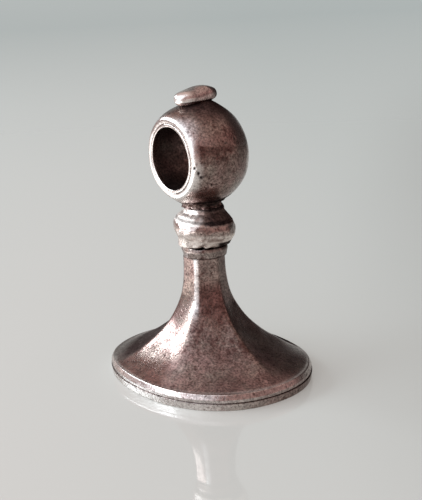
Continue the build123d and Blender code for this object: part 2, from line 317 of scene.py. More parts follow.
# Flared shank
# Stem and skirt in one casting, filed to six flats at the stem that run out into the die's oval. The
# arrises are soft with handling, and the rounded rim of the foot is rubbed bright. The rubbing on one
# arris, the rim and the foot's wall is strongest on the lit side, partly as painted highlight, and
# painted shade darkens two flats and the back of the rim and reddens the wall on the shaded side.
foot_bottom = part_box("flared_shank")[0][2]
foot_x, foot_y, stem_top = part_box("flared_shank")[1]
FOOT_HEIGHT, FOOT_WALL, FOOT_BEVEL, FOOT_ROUND = 0.82 * MM, 0.34 * MM, 0.2 * MM, 0.14 * MM
FOOT_DRAFT, SOLE_BAND, SKIRT_LEDGE = 0.04 * MM, 1.0 * MM, 0.1 * MM
STEM_RADIUS, STEM_END_RADIUS = 2.15 * MM, 1.15 * MM
FACETS = 6
FLARE_POWER, FLARE_TAPER = 3.05, 0.02
SKIRT_CROWN, CROWN_POWER = 0.9, 4
STEM_SHARPNESS, SKIRT_SHARPNESS = 10, 45
RUBBED_STEM_SHARPNESS, RUBBED_SKIRT_SHARPNESS = 6, 16
WORN_BACK, WORN_LOW, WORN_REACH = np.radians(135), 0.25 * MM, 1.5 * MM
# The rubbed arris carries a painted highlight, and the shaded and dark flats carry painted shade.
RUBBED_AND_HIGHLIT_ARRIS, SHADED_FLAT, FRONT_FLAT, DARK_FLAT = np.radians([-60, -150, -30, 30])
SKIRT_POINTS, RIM_POINTS, END_POINTS = 160, 3, 8
RIM_STEP, SKIRT_STEP = 0.04 * MM, 0.13 * MM
FILED_UNEVEN, FILED_SIZE, FILED_SEED = 0.028 * MM, 3.2 * MM, 11
foot_top = foot_bottom + FOOT_HEIGHT
wall_top = foot_bottom + FOOT_WALL


def unevenness(points, size, seed, waves=20):
    """Smooth hand-made unevenness of about -1 to 1: the sum of sine waves of about this length that run
    through the points in many directions, divided by the root of their number."""
    draw = np.random.default_rng(seed)
    heading = draw.normal(size=(waves, 3))
    heading /= np.linalg.norm(heading, axis=1, keepdims=True)
    length = size * draw.uniform(0.7, 1.7, (waves, 1))
    phase = draw.uniform(0, 2 * np.pi, waves)
    return np.sin(points @ (2 * np.pi * heading / length).T + phase).sum(axis=-1) / np.sqrt(waves)


def raised(points, amount, closed=False):
    """Moves each point along the surface's normal, the cross product of the steps to its neighbours."""
    across = np.roll(points, -1, axis=1) - np.roll(points, 1, axis=1)
    along = np.gradient(points, axis=0)
    if closed:
        along = np.roll(points, -1, axis=0) - np.roll(points, 1, axis=0)
    normal = np.cross(across, along)
    normal /= np.maximum(np.linalg.norm(normal, axis=-1, keepdims=True), 1e-15)
    middle = points.mean(axis=(0, 1))
    outward = np.sign(np.einsum("ijk,ijk->", normal, points - middle))
    return points + outward * normal * np.broadcast_to(amount, points.shape[:2])[..., None]


def band(value, low, full, fading, high):
    """Smooth band: 0 below low, 1 from full to fading, and 0 above high."""
    return step_up(value, low, full) * step_up(value, high, fading)


def facing(direction, low, high):
    """Smooth step from 0 to 1 as the cosine of the angle from a direction goes from low to high."""
    return step_up(np.cos(around - direction), low, high)


def oval_reach(angle, half_x, half_y, squareness):
    """Distance from the middle of a superellipse to its edge in a direction: the cosine and sine over the
    half lengths, each to the power of the squareness, add up to 1."""
    across, along = np.abs(np.cos(angle) / half_x), np.abs(np.sin(angle) / half_y)
    return (across**squareness + along**squareness) ** (-1 / squareness)


def soft_facets(angle, half_x, half_y, squareness, sharpness):
    """Distance to a polygon with soft corners that stand on a superellipse at equal angles. A flat is met
    at its distance over the cosine of the angle to its normal, and the power mean of the six rounds the
    corners off."""
    corner = np.arange(FACETS) * 2 * np.pi / FACETS
    reach = oval_reach(corner, half_x, half_y, squareness)
    x, y = reach * np.cos(corner), reach * np.sin(corner)
    side_x, side_y = np.roll(x, -1, axis=1) - x, np.roll(y, -1, axis=1) - y
    twice_area = x * np.roll(y, -1, axis=1) - np.roll(x, -1, axis=1) * y
    slant = np.cos(angle)[:, None] * side_y[:, None, :] - np.sin(angle)[:, None] * side_x[:, None, :]
    nearness = np.clip(slant / twice_area[:, None, :], 0, None) * half_y[..., None]
    return half_y / (nearness ** sharpness[..., None]).sum(axis=-1) ** (1 / sharpness)


def foot_row(inset, height):
    """Row of the foot's outline: the die's oval drawn in by an inset, at a height, with full flare."""
    return foot_x - inset, height, foot_y - inset, 1, 1


def shank_outline():
    """Rows of half length, height, half width, flare and foot, from the sole by an upright wall, a bevel
    and the skirt to the end of the stem. The flare is (1 - rise) ^ power with a slight taper."""
    rise = np.linspace(0, 1, SKIRT_POINTS)
    curve = (1 - FLARE_TAPER) * (1 - rise) ** FLARE_POWER + FLARE_TAPER * (1 - rise)
    spare = FOOT_BEVEL + SKIRT_LEDGE + STEM_RADIUS
    half_x, half_y = STEM_RADIUS + curve * (foot_x - spare), STEM_RADIUS + curve * (foot_y - spare)
    skirt = np.stack([half_x, foot_top + rise * (stem_top - foot_top), half_y, curve, 0 * rise], axis=-1)
    sole = [foot_row(SOLE_BAND, foot_bottom), foot_row(FOOT_DRAFT, foot_bottom), foot_row(0, wall_top)]
    rim = [foot_row(0, wall_top), foot_row(FOOT_BEVEL, foot_top), *skirt[: RIM_POINTS + 1]]
    end = [*skirt[-END_POINTS - 1:], (STEM_END_RADIUS, stem_top, STEM_END_RADIUS, 0, 0)]
    return np.concatenate(
        [
            worn_outline(sole, RIM_STEP, 2 * SEAM_WEAR)[:-1],
            worn_outline(rim, RIM_STEP, FOOT_ROUND)[:-1],
            worn_outline(skirt[RIM_POINTS:-END_POINTS], SKIRT_STEP, SKIRT_STEP)[:-1],
            worn_outline(end, RIM_STEP, SEAM_WEAR),
        ]
    )


def shank_form(outline):
    """Each row is a soft-cornered hexagon on an oval between the stem's circle and the die's outline. Its
    sides swell by the crown of the way to that oval, and the foot is the oval itself. One arris is rubbed
    softer than the rest, and the back of the rim is rubbed low."""
    half_x, z, half_y, flare, foot = (column[:, None] for column in outline.T)
    crown = SKIRT_CROWN * flare**CROWN_POWER
    crown = crown + foot * (1 - crown)
    squareness = 2 + flare * (DIE_SQUARENESS - 2)
    on_skirt = step_up(flare, 0, 0.3)
    crisp = STEM_SHARPNESS + on_skirt * (SKIRT_SHARPNESS - STEM_SHARPNESS)
    rubbed = RUBBED_STEM_SHARPNESS + on_skirt * (RUBBED_SKIRT_SHARPNESS - RUBBED_STEM_SHARPNESS)
    sharpness = crisp + facing(RUBBED_AND_HIGHLIT_ARRIS, 0.75, 0.95) * (rubbed - crisp)
    facets = soft_facets(around, half_x, half_y, squareness, sharpness)
    reach = facets + crown * (oval_reach(around, half_x, half_y, squareness) - facets)
    low = facing(WORN_BACK, -0.2, 0.5) * band(z, wall_top, foot_top, foot_top, foot_top + WORN_REACH)
    return np.stack([reach * np.cos(around), reach * np.sin(around), z - WORN_LOW * low], axis=-1)


def shank_marks(points, outline):
    """One arris, the rim and the foot's wall are rubbed bright, by smooth steps of the height and of the
    distance to the side, most on the lit side, which is partly painted highlight. The arris has a satin
    gap that breaks its highlight, the front flat is red above and satin below, and dirt sits in the seams.
    Painted shade darkens a flat at the back, a flat on the shaded side and the back of the rim there, and
    reddens the foot's wall on the shaded side."""
    z, flare, foot = (outline[:, column, None] for column in (1, 3, 4))
    to_side, back = points @ TO_THE_SIDE / foot_x, step_up(points @ AWAY / foot_x, 0, 0.3)
    # The rubbed arris faces the lit side, so its wear is partly a painted highlight.
    arris = step_up(np.cos(FACETS * around), 0.55, 1) * facing(RUBBED_AND_HIGHLIT_ARRIS, 0.8, 0.95)
    arris = arris * step_up(flare, 0.2, 0.02)
    gap = arris * step_up(np.abs(z - stem_top + 2.8 * MM), 1.9 * MM, 1.1 * MM)
    front = facing(FRONT_FLAT, 0.75, 0.9)
    rim = band(z, foot_top - 0.55 * MM, foot_top - 0.4 * MM, foot_top - 0.02 * MM, foot_top + 0.1 * MM)
    wall = foot * step_up(z, foot_top - 0.4 * MM, foot_top - 0.55 * MM)
    # Rim wear rises towards the lit side, partly as painted highlight.
    rim_wear_and_highlight = 0.4 - 0.16 * step_up(to_side, -0.05, -0.3) + 0.48 * step_up(to_side, -0.4, -0.75)
    wear = 0.8 * arris - 0.3 * gap + rim * rim_wear_and_highlight * (1 - back)
    # The foot's wall is rubbed more on the lit side, partly as painted highlight.
    wear = wear + wall * (0.26 + 0.32 * step_up(to_side, 0.6, -0.1))
    wear = wear + 0.07 * front * step_up(z, stem_top - 2.6 * MM, stem_top - 1.6 * MM)
    red = band(z, foot_top + 0.9 * MM, foot_top + 2.8 * MM, stem_top - 3 * MM, stem_top - 1.7 * MM)
    red = front * red * (0.5 + 0.25 * step_up(z, foot_top + 5.5 * MM, foot_top + 4 * MM))
    # Painted shade reddens the foot's wall on the shaded side.
    blush_and_shade = red + 0.28 * wall * step_up(to_side, 0.2, 0.6)
    satin = facing(FRONT_FLAT, 0.7, 0.87) * step_up(flare, 0.15, 0.4) * (1 - foot)
    satin = satin + 0.6 * gap + 0.35 * arris
    die_seam = step_up(z, foot_bottom + 0.07 * MM, foot_bottom + 0.02 * MM)
    ring_seam = step_up(z, stem_top - 0.2 * MM, stem_top)
    grime_and_shade = (0.5 - 0.3 * step_up(to_side, 0, 0.4)) * die_seam + 0.7 * ring_seam
    # Painted shade darkens a flat at the back, a flat on the shaded side and the back of the rim there.
    grime_and_shade = grime_and_shade + 0.85 * facing(SHADED_FLAT, 0.84, 0.9) * step_up(z, foot_top, foot_top + 0.6 * MM)
    grime_and_shade = grime_and_shade + 0.25 * facing(DARK_FLAT, 0.85, 0.9) * step_up(flare, 0.1, 0.02)
    grime_and_shade = grime_and_shade + back * step_up(to_side, 0, 0.4) * step_up(z, foot_top - 0.5 * MM, foot_top - 0.3 * MM)
    return dict(wear=np.clip(wear, 0, 1), grime_and_shade=np.clip(grime_and_shade, 0, 1), satin=satin, blush_and_shade=blush_and_shade)


def shank_surface():
    """The shank's form with its marks, and a slight unevenness that fades out towards the foot."""
    outline = shank_outline()
    points = shank_form(outline)
    uneven = FILED_UNEVEN * unevenness(points, FILED_SIZE, FILED_SEED)
    above_foot = step_up(outline[:, 1:2], foot_top, foot_top + 2 * MM)
    return raised(points, above_foot * uneven), shank_marks(points, outline)


shank = skin("flared_shank_filed", *shank_surface())
dressed(shank, "flared_shank", old_silver("toned_old_silver", gloss=(0.18, 0.3)))

# Ferrule ring
# A narrow band soldered over the top of the stem, a little proud of its flats and not quite central.
# Solder and dirt sit in the seam above it, under the collar, where the dark line is also painted shade.
# Painted shade darkens the band towards the shaded side, and its edge lines stop short of the lit side.
ring_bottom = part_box("ferrule_ring")[0][2]
ring_radius, _, ring_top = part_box("ferrule_ring")[1]
PIN_HOLE = 0.77 * MM
RING_LOWER_RADIUS, RING_EDGE_HEIGHT, RING_EDGE_INSET = 2.1 * MM, 0.45 * MM, 0.06 * MM
TURNED_STEP, RING_WEAR, RING_ASKEW = 0.04 * MM, 0.2 * MM, 0.12 * MM
RING_UNEVEN, RING_SIZE, RING_SEED = 0.035 * MM, 1.4 * MM, 21
RING_CHIPS = [
    (-45, 0, 0.45, 0.12, 0.1),
    (-20, 0, 0.3, 0.12, 0.12),
    (24, 0, 0.7, 0.2, 0.1),
    (140, 0, 0.6, 0.15, 0.12),
]


def turned(outline, askew):
    """Carries an outline of radii and heights round an upright axis, set to the side by a distance."""
    angle = around[::2]
    radius, height = outline[:, :1], outline[:, 1:2]
    points = np.stack([radius * np.cos(angle), radius * np.sin(angle), height + 0 * angle], axis=-1)
    outer = step_up(radius, PIN_HOLE, 2 * PIN_HOLE)[..., None]
    return points + outer * askew * TO_THE_SIDE


def dents(points, level, marks):
    """Depth of the dents in a surface. Each mark has an angle round the Z axis in degrees and then, in
    millimetres, a height above the level, a half width, a half height and a depth. The depth falls off
    with the distance in half sizes as a bell curve."""
    angle = np.arctan2(points[..., 1], points[..., 0])
    radius = np.hypot(points[..., 0], points[..., 1])
    at, *lengths = np.array(marks).T
    up, width, tall, depth = np.array(lengths) * MM
    turn = np.mod(angle[..., None] - np.radians(at) + np.pi, 2 * np.pi) - np.pi
    away = (turn * radius[..., None] / width) ** 2 + ((points[..., 2:] - level - up) / tall) ** 2
    return (depth * np.exp(-away)).sum(axis=-1)


def ring_surface():
    """A closed outline of the band's section, turned, with a slight waver and chips along its upper edge.
    Dark lines run along both edges, partly as painted shade, and stop short of the lit side. Dirt sits in
    the chips, and painted shade darkens the band towards the shaded side."""
    section = [
        (PIN_HOLE, ring_bottom),
        (RING_LOWER_RADIUS, ring_bottom),
        (ring_radius, ring_top - RING_EDGE_HEIGHT),
        (ring_radius - RING_EDGE_INSET, ring_top),
        (PIN_HOLE, ring_top),
        (PIN_HOLE, ring_bottom),
    ]
    points = turned(worn_outline(section, TURNED_STEP, RING_WEAR)[:-1], RING_ASKEW)
    z = points[..., 2]
    chips = dents(points, ring_top, RING_CHIPS)
    points = raised(points, RING_UNEVEN * unevenness(points, RING_SIZE, RING_SEED) - chips, closed=True)
    to_side = points @ TO_THE_SIDE / ring_radius
    # Painted shade: the edge lines fade out on the lit side, and the band darkens towards the shaded side.
    edges = step_up(z, ring_top - 0.22 * MM, ring_top) + step_up(z, ring_bottom + 0.12 * MM, ring_bottom)
    grime_and_shade = edges * step_up(to_side, -0.7, -0.3) + 0.3 * step_up(to_side, 0, 0.4) + chips / (0.1 * MM)
    return points, dict(grime_and_shade=np.clip(grime_and_shade, 0, 1), wear=0.15 - 0.05 * step_up(to_side, 0, -0.6))


ring = skin("ferrule_ring_band", *ring_surface(), closed=True)
dressed(ring, "ferrule_ring", old_silver("band_old_silver"))

# Collar bead
# A turned bead with a sloping top and a small lip below, threaded on the pin and soldered a little off
# centre. Its flank and upper slope are rubbed bright, on the lit side partly as painted highlight, painted
# shade darkens it towards the shaded side, and the lip is chipped where the solder has let go.
collar_base, collar_top = (corner[2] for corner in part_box("collar_bead"))
collar_tall = collar_top - collar_base
LIP_RADIUS, LIP_HEIGHT = 2.48 * MM, 0.15 * MM
FLANK_RADIUS, FLANK_HEIGHT = 2.68 * MM, 0.85 * MM
BELLY_RADIUS, BELLY_HEIGHT = 3.02 * MM, 1.6 * MM
SLOPE_RADIUS, SLOPE_HEIGHT = 2.9 * MM, 2.25 * MM
SHOULDER_RADIUS, SHOULDER_HEIGHT, SHOULDER_LINE = 2.54 * MM, 2.75 * MM, 2.6 * MM
COVE_RADIUS, COVE_HEIGHT = 1.94 * MM, 3.3 * MM
COLLAR_TOP_RADIUS, COLLAR_WEAR = 1.9 * MM, 0.36 * MM
COLLAR_ASKEW, LIP_ASKEW, COLLAR_LEAN = 0.23 * MM, 0.08 * MM, 0.09
COLLAR_UNEVEN, COLLAR_SIZE, COLLAR_SEED = 0.045 * MM, 2.2 * MM, 31
COLLAR_RIPPLE, RIPPLE_SIZE, RIPPLE_SEED = 0.02 * MM, 0.8 * MM, 32
COLLAR_FINISH = dict(toned=tone(156, 135, 125), bright=tone(230, 220, 212), gloss=(0.2, 0.36))
COLLAR_CHIPS = [
    (-50, 0, 0.5, 0.14, 0.12),
    (-38, 0.1, 0.25, 0.22, 0.2),
    (-16, 0, 0.4, 0.16, 0.16),
    (22, 0.05, 0.8, 0.2, 0.1),
    (150, 0, 0.6, 0.2, 0.2),
    (-30, 1.1, 0.1, 0.24, 0.05),
]


def arc_through(start, middle, end, count):
    """Points of the circle through three points, from start by the middle to the end. Its centre is where
    the chords' perpendicular bisectors meet."""
    start, middle, end = (np.asarray(point, dtype=float) for point in (start, middle, end))
    sides = 2 * np.array([middle - start, end - start])
    centre = np.linalg.solve(sides, [middle @ middle - start @ start, end @ end - start @ start])
    first, _, last = np.unwrap([np.arctan2(*(point - centre)[::-1]) for point in (start, middle, end)])
    angle = np.linspace(first, last, count)
    return centre + np.hypot(*(start - centre)) * np.stack([np.cos(angle), np.sin(angle)], axis=-1)


def collar_outline():
    """The bead's section, in radii and heights above its base: a lip, a sloping flank, an arc over the
    belly, a flatter arc over the shoulder and a cove."""
    slope = (SLOPE_RADIUS, SLOPE_HEIGHT)
    lower = [(PIN_HOLE, 0), (LIP_RADIUS, 0), (LIP_RADIUS, LIP_HEIGHT)]
    belly = arc_through((FLANK_RADIUS, FLANK_HEIGHT), (BELLY_RADIUS, BELLY_HEIGHT), slope, 24)
    shoulder = arc_through(slope, (SHOULDER_RADIUS, SHOULDER_HEIGHT), (COVE_RADIUS, COVE_HEIGHT), 16)
    upper = [(COLLAR_TOP_RADIUS, collar_tall), (PIN_HOLE, collar_tall), (PIN_HOLE, 0)]
    return worn_outline([*lower, *belly, *shoulder[1:], *upper], TURNED_STEP, COLLAR_WEAR)[:-1]


def collar_marks(points, height, chips):
    """The flank is rubbed bright all round, the belly and the upper slope on the lit side, partly as
    painted highlight. The belly reddens to the other side, where painted shade darkens the upper slope and
    the lower flank. Dark seams, partly painted shade, stop short of the lit side, dirt sits in the chips,
    and a dark line runs round the shoulder."""
    to_side = points @ TO_THE_SIDE / BELLY_RADIUS
    upper = step_up(height, 2.2 * MM, 2.5 * MM)
    belly = step_up(height, 1.2 * MM, 1.5 * MM) * (1 - upper)
    wear = (1 - 0.35 * step_up(to_side, -0.2, -0.6)) * (1 - upper) * (1 - belly)
    # Wear on the belly and the upper slope grows towards the lit side, partly as painted highlight.
    wear = wear + belly * (0.2 + 0.2 * step_up(to_side, -0.1, -0.4))
    wear = wear + 0.8 * upper * step_up(to_side, 0.2, -0.2)
    # The seam lines stop short of the lit side, partly as painted shade.
    grime_and_shade = step_up(height, 0.16 * MM, 0.04 * MM) * step_up(to_side, -0.45, -0.2)
    grime_and_shade = grime_and_shade + step_up(height, collar_tall - 0.3 * MM, collar_tall) * step_up(to_side, -0.3, 0.1)
    # Painted shade darkens the lower flank here and the upper slope below, towards the shaded side.
    grime_and_shade = grime_and_shade + step_up(height, 0.7 * MM, 0.4 * MM) * step_up(to_side, 0.35, 0.55)
    grime_and_shade = grime_and_shade + np.clip((chips - 0.1 * MM) / (0.12 * MM), 0, 1)
    grime_and_shade = grime_and_shade + 0.75 * upper * step_up(to_side, -0.1, 0.35)
    grime_and_shade = grime_and_shade + 0.6 * step_up(np.abs(height - SHOULDER_LINE), 0.2 * MM, 0.06 * MM)
    blush_and_shade = 0.55 * belly * step_up(to_side, -0.3, 0.1)
    return dict(grime_and_shade=np.clip(grime_and_shade, 0, 1), wear=wear, blush_and_shade=blush_and_shade, satin=0.8 * (1 - belly))


def collar_surface():
    """The bead's section, turned with a slight waver and chipped along the lip, which stands truer than
    the rest. The belly and shoulder lean to the side, lower there by the lean times the distance."""
    points = turned(collar_outline(), COLLAR_ASKEW)
    height = points[..., 2].copy()
    outside = step_up(np.hypot(points[..., 0], points[..., 1]), PIN_HOLE, 2 * PIN_HOLE)
    truer = (LIP_ASKEW - COLLAR_ASKEW) * outside * step_up(height, FLANK_HEIGHT, 0)
    points = points + truer[..., None] * TO_THE_SIDE + (0, 0, collar_base)
    leaning = outside * band(height, 0.2 * MM, 1.2 * MM, collar_tall - 0.9 * MM, collar_tall)
    points[..., 2] -= COLLAR_LEAN * leaning * (points @ TO_THE_SIDE)
    waver = COLLAR_UNEVEN * unevenness(points, COLLAR_SIZE, COLLAR_SEED)
    ripple = COLLAR_RIPPLE * unevenness(points, RIPPLE_SIZE, RIPPLE_SEED)
    chips = dents(points, collar_base, COLLAR_CHIPS)
    points = raised(points, waver + ripple - chips, closed=True)
    return points, collar_marks(points, height, chips)


collar = skin("collar_bead_turned", *collar_surface(), closed=True)
dressed(collar, "collar_bead", old_silver("collar_old_silver", **COLLAR_FINISH))

# Neck ring
# The solder neck between the bead and the ball: a short waisted ring dished to the ball, lumpy and
# pitted, darkened all round by painted shade under the ball, and more towards the shaded side.
neck_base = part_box("neck_ring")[0][2]
ball_radius, half_flats, ball_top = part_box("pierced_ball")[1]
PEG_HOLE, SOLDER_GAP = 0.47 * MM, 0.02 * MM
ball_middle = np.array([0, 0, ball_top - np.sqrt(ball_radius**2 - PEG_HOLE**2)])
NECK_TOP_RADIUS, NECK_WAIST_RADIUS, NECK_FOOT_RADIUS = 2.3 * MM, 1.88 * MM, 1.95 * MM
NECK_WAIST_HEIGHT, NECK_WEAR, NECK_ASKEW = 0.25 * MM, 0.08 * MM, 0.1 * MM
NECK_LUMPS, LUMP_SIZE, LUMP_SEED = 0.05 * MM, 0.9 * MM, 41
NECK_GRAIN, GRAIN_SIZE, GRAIN_SEED = 0.025 * MM, 0.4 * MM, 42
NECK_PITS = [
    (8, 0.4, 0.3, 0.2, 0.2),
    (28, 0.25, 0.35, 0.2, 0.2),
    (-10, 0.3, 0.25, 0.2, 0.15),
    (-70, 0.2, 0.3, 0.2, 0.15),
    (120, 0.3, 0.3, 0.2, 0.15),
]


def neck_surface():
    """The ring's section, waisted outside and dished on top to the ball, turned and roughened by two
    sizes of unevenness and by pits. Painted shade darkens it, more towards the side."""
    dish_radius = np.linspace(NECK_TOP_RADIUS, PIN_HOLE, 16)
    dish_height = ball_middle[2] - np.sqrt((ball_radius + SOLDER_GAP) ** 2 - dish_radius**2)
    dish = np.stack([dish_radius, dish_height], axis=-1)
    foot, inside = (NECK_FOOT_RADIUS, neck_base), (PIN_HOLE, neck_base)
    waist = arc_through(foot, (NECK_WAIST_RADIUS, neck_base + NECK_WAIST_HEIGHT), dish[0], 24)
    outline = worn_outline([inside, *waist, *dish, inside], TURNED_STEP, NECK_WEAR)[:-1]
    points = turned(outline, NECK_ASKEW)
    outer = step_up(np.hypot(points[..., 0], points[..., 1]), 1.4 * MM, 1.8 * MM)
    lumps = NECK_LUMPS * unevenness(points, LUMP_SIZE, LUMP_SEED)
    grain = NECK_GRAIN * unevenness(points, GRAIN_SIZE, GRAIN_SEED)
    pits = dents(points, neck_base, NECK_PITS)
    points = raised(points, outer * (lumps + grain - pits), closed=True)
    # Painted shade under the ball, deeper towards the shaded side.
    return points, dict(grime_and_shade=0.24 + 0.5 * step_up(points @ TO_THE_SIDE / NECK_TOP_RADIUS, -0.6, 0.3))


neck = skin("neck_ring_solder", *neck_surface(), closed=True)
dressed(neck, "neck_ring", old_silver("shade_darkened_old_silver"))

# Pierced ball
# A ball turned from the solid and bored through for a ribbon, with the mouths faced flat and their edges
# rounded. It is rubbed bright round the mouths, partly as painted highlight, a painted reflection parts
# a reddened middle from a paler zone above it, and painted shade darkens it where it meets the neck and
# the button.
LINER_HOLE, MOUTH_EDGE, BORE_EDGE = 3.28 * MM, 0.05 * MM, 0.03 * MM
BALL_STEP, BORE_STEP, LIP_WEAR = 0.055 * MM, 0.2 * MM, 0.55 * MM
SOLDER_AT, SOLDER_REACH, SOLDER_RISE = 0.9 * MM, 1.3 * MM, 0.35 * MM
BALL_UNEVEN, BALL_SIZE, BALL_SEED = 0.03 * MM, 3.0 * MM, 51
REFLECTION_LINE_HEIGHT, REFLECTION_LINE_SLOPE = 1.6 * MM, 0.14
BALL_PITS = [
    (-40, -0.45, 0.12, 0.12, 0.09),
    (-36, -0.95, 0.13, 0.18, 0.09),
    (-33, -1.35, 0.15, 0.13, 0.09),
    (-21, -2.2, 0.11, 0.11, 0.07),
    (-2, 1.55, 0.18, 0.1, 0.06),
    (13, 1.8, 0.12, 0.12, 0.06),
]


def turned_about_hole(outline, angle):
    """Carries an outline of radii and distances along the hole round its axis, which is along Y."""
    radius, along = outline[:, :1], outline[:, 1:2]
    points = np.stack([radius * np.cos(angle), along + 0 * angle, radius * np.sin(angle)], axis=-1)
    return ball_middle + points


def ball_marks(points, pits):
    """The lips of the mouths are rubbed bright, and duller high up, partly as painted highlight. A sloping
    line, a painted reflection, parts the red toned middle from a paler zone above it. Painted shade
    darkens it by the neck and the button, and dirt sits by the liner and in the pits."""
    x, y, z = np.moveaxis(points - ball_middle, -1, 0)
    side, from_mouth = points @ TO_THE_SIDE, half_flats - np.abs(y)
    # The sloping line is a painted reflection: the ball reddens below it and a paler zone is painted above
    # it.
    over_reflection_line = z - REFLECTION_LINE_HEIGHT + REFLECTION_LINE_SLOPE * side
    lip_width = np.where(z < 0, 0.95, 0.7) * MM
    lip = (0.95 - 0.45 * step_up(z, 1.8 * MM, 2.8 * MM)) * step_up(from_mouth, lip_width, 0.1 * MM)
    reflected_pale = 0.2 * step_up(over_reflection_line, -0.1 * MM, 0.1 * MM) * step_up(z, 4.2 * MM, 3.2 * MM)
    wear = np.maximum(lip, reflected_pale * step_up(from_mouth, 2.6 * MM, 0.9 * MM))
    red = step_up(over_reflection_line, 0.06 * MM, -0.06 * MM) * step_up(z, -1.5 * MM, 0.6 * MM)
    red = red + 0.6 * step_up(over_reflection_line, 0.2 * MM, 1.2 * MM) * step_up(from_mouth, 3 * MM, 1.4 * MM)
    # Painted shade by the neck and under the button.
    shade_by_neck = step_up(np.hypot(x - 0.2 * MM, y - 0.3 * MM), 3.05 * MM, 2.45 * MM)
    shade_by_neck = shade_by_neck * step_up(side, -1.2 * MM, -0.5 * MM)
    shade_by_neck = np.maximum(shade_by_neck, 0.8 * step_up(np.hypot(x, y), 2.75 * MM, 2.4 * MM)) * (z < 0)
    shade_by_button = step_up(np.hypot(x - 1.0 * MM, y - 0.3 * MM), 3.2 * MM, 1.2 * MM) * (z > 0)
    by_liner = step_up(np.hypot(x, z), LINER_HOLE + 0.14 * MM, LINER_HOLE + 0.04 * MM)
    grime_and_shade = shade_by_neck + 0.85 * shade_by_button + 0.2 * by_liner + pits / (0.06 * MM)
    return dict(grime_and_shade=np.clip(grime_and_shade, 0, 1), wear=wear, blush_and_shade=0.65 * red * (1 - wear))


def ball_surface():
    """The section of the ball, an arc between two flat mouths and the straight bore, turned about the
    hole. Solder is drawn up beside the button, as a bell curve of the distance from its middle."""
    swing = np.linspace(-1, 1, 60) * np.arcsin(half_flats / ball_radius)
    arc = ball_radius * np.stack([np.cos(swing), np.sin(swing)], axis=-1)
    mouth, bore_end = LINER_HOLE + MOUTH_EDGE, half_flats - BORE_EDGE
    outer = worn_outline([(mouth, -half_flats), *arc, (mouth, half_flats)], BALL_STEP, LIP_WEAR)
    bore = worn_outline([(LINER_HOLE, bore_end), (LINER_HOLE, -bore_end)], BORE_STEP, BORE_STEP)
    points = turned_about_hole(np.concatenate([outer, bore]), around)
    x, y, z = np.moveaxis(points - ball_middle, -1, 0)
    outside = step_up(np.hypot(x, z), LINER_HOLE, LINER_HOLE + 0.4 * MM)
    beside = np.hypot(x - SOLDER_AT * TO_THE_SIDE[0], y - SOLDER_AT * TO_THE_SIDE[1])
    solder = SOLDER_RISE * np.exp(-((beside / SOLDER_REACH) ** 2)) * (z > 0)
    pits = dents(points, ball_middle[2], BALL_PITS)
    uneven = BALL_UNEVEN * unevenness(points, BALL_SIZE, BALL_SEED)
    points = raised(points, outside * (uneven + solder - pits), closed=True)
    return points, ball_marks(points, pits)


ball = skin("pierced_ball_bored", *ball_surface(), closed=True)
dressed(ball, "pierced_ball", old_silver("ball_old_silver", gloss=(0.18, 0.32)))

# Hole liner
# A lining tube soldered into the bore, its ends rounded by the ribbon and standing a hair proud. The lips
# are bright, partly as painted highlight, and painted shade darkens the inside.
liner_radius, liner_end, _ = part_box("hole_liner")[1]
HOLE_RADIUS, LINER_STEP, LINER_WEAR = 2.96 * MM, 0.04 * MM, 0.16 * MM
LINER_UNEVEN, LINER_SIZE, LINER_SEED = 0.015 * MM, 2.0 * MM, 61


def liner_surface():
    """The tube's section, a long rectangle with rounded ends, turned about the hole. Wear, duller high up
    as painted highlight, fades with the depth from the mouth, and painted shade darkens the inside with
    depth."""
    section = [
        (HOLE_RADIUS, 0),
        (HOLE_RADIUS, -liner_end),
        (liner_radius, -liner_end),
        (liner_radius, liner_end),
        (HOLE_RADIUS, liner_end),
        (HOLE_RADIUS, 0),
    ]
    points = turned_about_hole(worn_outline(section, LINER_STEP, LINER_WEAR)[:-1], around[::2])
    points = raised(points, LINER_UNEVEN * unevenness(points, LINER_SIZE, LINER_SEED), closed=True)
    depth = liner_end - np.abs(points[..., 1])
    # Wear at the mouths, duller high up, is partly painted highlight, and the darkening inside is painted
    # shade.
    rubbed = 0.7 - 0.22 * step_up(points[..., 2] - ball_middle[2], 1.2 * MM, 2.4 * MM)
    wear = rubbed * step_up(depth, 0.3 * MM, 0.1 * MM)
    return points, dict(grime_and_shade=0.6 * step_up(depth, 0.15 * MM, 0.6 * MM), wear=wear)


liner = skin("hole_liner_tube", *liner_surface(), closed=True)
dressed(liner, "hole_liner", old_silver("liner_old_silver"))

# Finial button
# An oval pebble of silver pegged and soldered on top of the ball, a little askew. Its top and lower end
# are rubbed, the lower end partly as painted highlight, and painted shade darkens the undercut and the
# far end.
BUTTON_LENGTH, BUTTON_WIDTH, BUTTON_THICKNESS = 4.45 * MM, 2.6 * MM, 1.6 * MM
BUTTON_RIM_HEIGHT, BUTTON_WEAR = 0.74 * MM, 0.1 * MM
BUTTON_PLAN, BUTTON_SIDE, BUTTON_SWING = 2.4, 2.6, 0.497 * np.pi
BUTTON_SHIFT, BUTTON_SINK, BUTTON_TILT = 0.1 * MM, 0.24 * MM, np.radians(5)
BUTTON_UNEVEN, BUTTON_SIZE, BUTTON_SEED = 0.05 * MM, 2.4 * MM, 71
BUTTON_TONED = tone(150, 126, 112)


